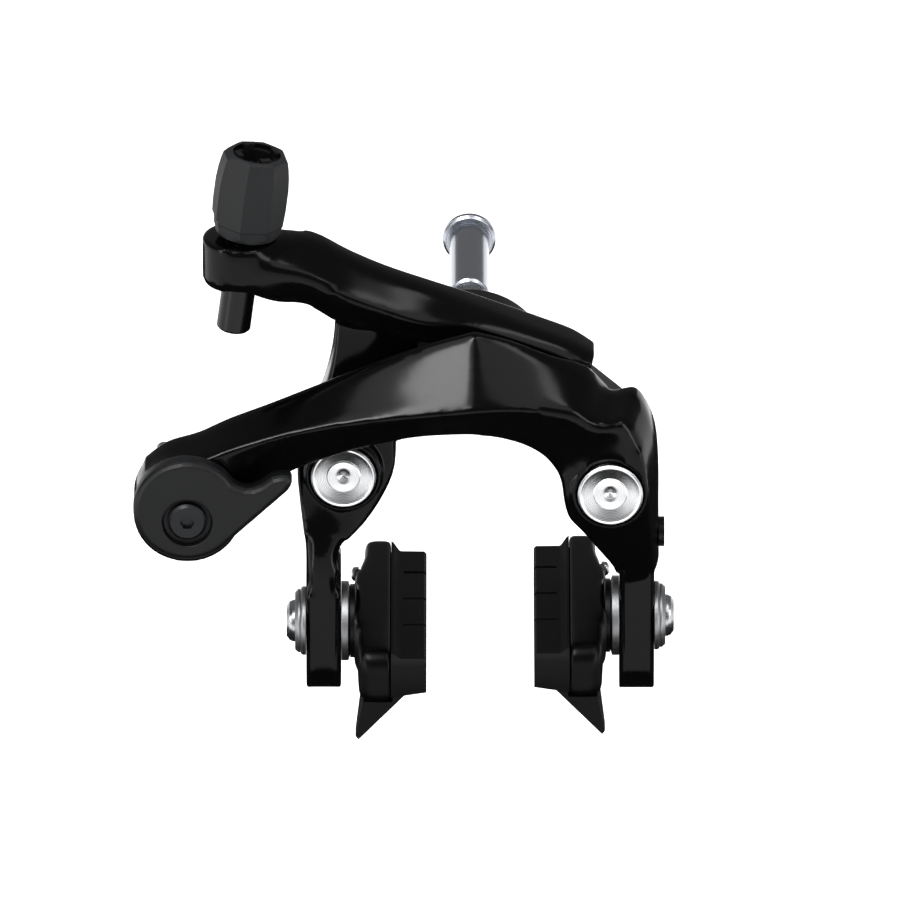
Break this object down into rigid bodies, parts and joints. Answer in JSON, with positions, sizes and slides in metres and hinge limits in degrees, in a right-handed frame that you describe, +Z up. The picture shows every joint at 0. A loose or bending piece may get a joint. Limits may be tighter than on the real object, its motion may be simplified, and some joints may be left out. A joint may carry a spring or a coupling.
{
  "type": "rim brake caliper",
  "caption": "Dual-pivot road rim brake caliper with forged black arms, turned silver pivot caps, cartridge shoes, quick-release lever, barrel adjuster and bolt with sleeve nut.",
  "frame": {"origin": "on the axis of the mounting bolt, at the rear face of the seat washer, where the caliper meets the fork", "axes": "+X to the right seen from the front, +Y to the rear along the mounting bolt, +Z up"},
  "size_m": [0.1081, 0.1063, 0.1162],
  "materials": {
    "black_lacquer": "gloss",
    "bracket_black": "satin",
    "turned_aluminium": "polished",
    "bright_steel": "satin",
    "blued_steel": "satin",
    "black_steel": "satin",
    "spring_steel": "satin",
    "bush_bronze": "satin",
    "grey_lever": "matte",
    "grey_plastic": "matte",
    "black_plastic": "matte",
    "black_stem": "gloss",
    "holder_black": "matte",
    "pad_rubber": "matte",
    "washer_silver": "satin"
  },
  "bodies": {
    "bracket": {"pivot_bracket": "bracket_black", "mount_bolt": "bright_steel", "seat_washer": "bright_steel", "sleeve_nut": "blued_steel", "left_axle": "turned_aluminium", "right_axle": "turned_aluminium", "axle_nuts": "bright_steel", "thrust_washers": "washer_silver", "return_spring": "spring_steel", "spring_clip": "black_plastic"},
    "front_arm_body": {"front_arm": "black_lacquer", "front_arm_bush": "bush_bronze", "right_spring_seat": "black_plastic", "roller_pin": "bright_steel"},
    "rear_arm_body": {"rear_arm": "black_lacquer", "rear_arm_bush": "bush_bronze", "left_spring_seat": "black_plastic"},
    "roller_body": {"link_roller": "bright_steel"},
    "centring_body": {"centring_screw": "black_steel"},
    "release_body": {"release_lever": "grey_lever", "lever_screw": "black_steel", "release_cam": "bright_steel", "cam_washer": "washer_silver", "clamp_plate": "washer_silver", "clamp_bolt": "bright_steel"},
    "knob_body": {"adjuster_knob": "grey_plastic", "knob_clip": "black_plastic"},
    "adjuster_bolt_body": {"adjuster_bolt": "black_stem"},
    "left_post_body": {"left_post": "washer_silver", "left_outer_washers": "washer_silver", "left_convex_washer": "washer_silver", "left_concave_washer": "washer_silver"},
    "left_shoe_body": {"left_holder": "holder_black", "left_pad": "pad_rubber", "left_pad_screw": "washer_silver"},
    "right_post_body": {"right_post": "washer_silver", "right_outer_washers": "washer_silver", "right_convex_washer": "washer_silver", "right_concave_washer": "washer_silver"},
    "right_shoe_body": {"right_holder": "holder_black", "right_pad": "pad_rubber", "right_pad_screw": "washer_silver"}
  },
  "joints": [
    {"name": "front_arm_pivot", "type": "hinge", "parent": "bracket", "child": "front_arm_body", "pos_m": [0.0281, -0.02, -0.01495], "axis": [0, 1, 0], "range_deg": [0, 10], "stiffness_Nm_per_rad": 0.9, "springref_deg": -20.05, "deforming": ["return_spring"]},
    {"name": "rear_arm_pivot", "type": "hinge", "parent": "bracket", "child": "rear_arm_body", "pos_m": [-0.0252, -0.02, -0.01495], "axis": [0, 1, 0], "range_deg": [-10, 0], "stiffness_Nm_per_rad": 0.9, "springref_deg": 20.05, "deforming": ["return_spring"]},
    {"name": "roller_spin", "type": "hinge", "parent": "front_arm_body", "child": "roller_body", "pos_m": [0.016, -0.02, 0.003], "axis": [0, 1, 0], "continuous": true},
    {"name": "centring_turn", "type": "hinge", "parent": "front_arm_body", "child": "centring_body", "pos_m": [0.0378, -0.024, -0.02835], "axis": [1, 0, 0], "range_deg": [-180, 180]},
    {"name": "quick_release", "type": "hinge", "parent": "front_arm_body", "child": "release_body", "pos_m": [-0.0563, -0.035, -0.0176], "axis": [0, 1, 0], "range_deg": [0, 90]},
    {"name": "knob_turn", "type": "hinge", "parent": "rear_arm_body", "child": "knob_body", "pos_m": [-0.04402, -0.019, 0.03908], "axis": [0.1253, 0, 0.9921], "range_deg": [-1081, 1081]},
    {"name": "adjuster_lift", "type": "slide", "parent": "rear_arm_body", "child": "adjuster_bolt_body", "axis": [0.1253, 0, 0.9921], "range_m": [-0.003, 0.003]},
    {"name": "left_post_slide", "type": "slide", "parent": "rear_arm_body", "child": "left_post_body", "axis": [0, 0, 1], "range_m": [-0.0031, 0.0069]},
    {"name": "left_shoe_tilt", "type": "hinge", "parent": "left_post_body", "child": "left_shoe_body", "pos_m": [-0.0257, -0.023, -0.0486], "axis": [1, 0, 0], "range_deg": [-10, 10]},
    {"name": "right_post_slide", "type": "slide", "parent": "front_arm_body", "child": "right_post_body", "axis": [0, 0, 1], "range_m": [-0.0043, 0.0057]},
    {"name": "right_shoe_tilt", "type": "hinge", "parent": "right_post_body", "child": "right_shoe_body", "pos_m": [0.03, -0.023, -0.0474], "axis": [1, 0, 0], "range_deg": [-10, 10]}
  ],
  "couplings": [
    {"joint": "rear_arm_pivot", "follows": "front_arm_pivot", "ratio": -1},
    {"joint": "knob_turn", "follows": "adjuster_lift", "rad_per_m": 6283.2}
  ]
}
